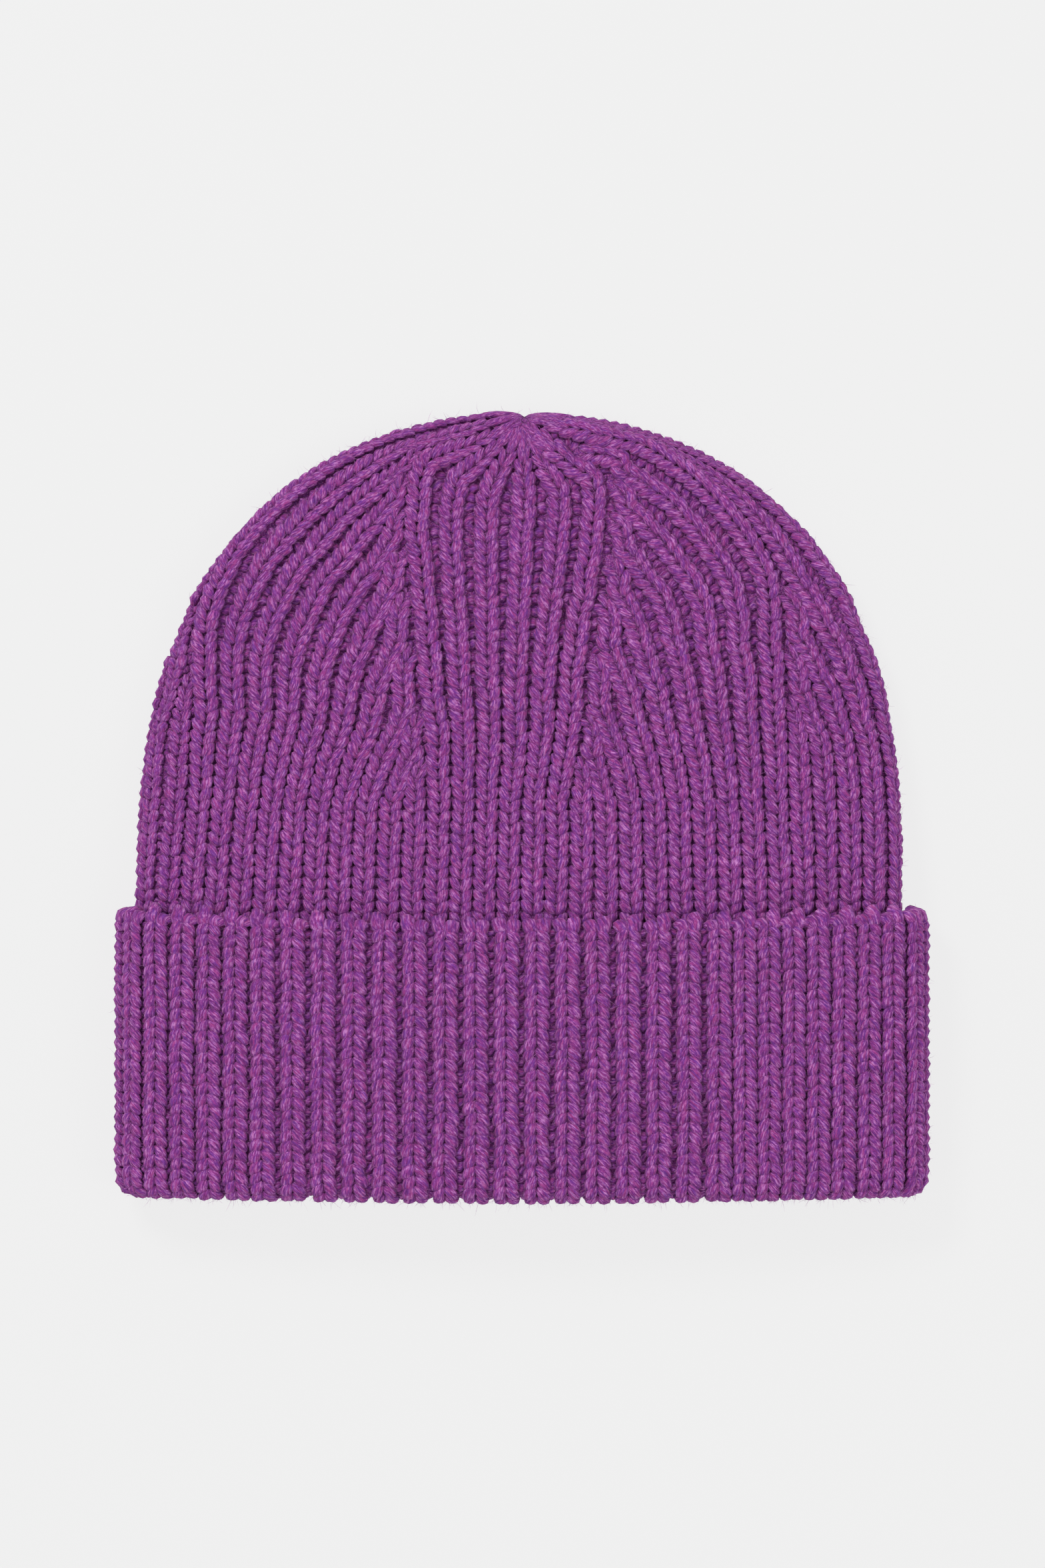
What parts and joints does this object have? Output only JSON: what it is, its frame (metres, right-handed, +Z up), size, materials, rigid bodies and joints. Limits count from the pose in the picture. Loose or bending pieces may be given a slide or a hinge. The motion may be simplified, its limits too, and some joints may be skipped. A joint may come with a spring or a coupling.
{
  "type": "knit beanie",
  "caption": "Chunky rib-knit beanie with a turned-up cuff, gathered at the top and lying flat on its back, with an open mouth.",
  "frame": {"origin": "middle of the footprint, on the surface that the beanie lies on", "axes": "+X across the beanie, +Y from the mouth to the gathered top, +Z up through the front"},
  "size_m": [0.22, 0.213, 0.031],
  "materials": {
    "yarn": "heathered purple wool, matt and slightly fuzzy"
  },
  "bodies": {
    "root": {"crown": "yarn", "cuff": "yarn"}
  },
  "joints": []
}
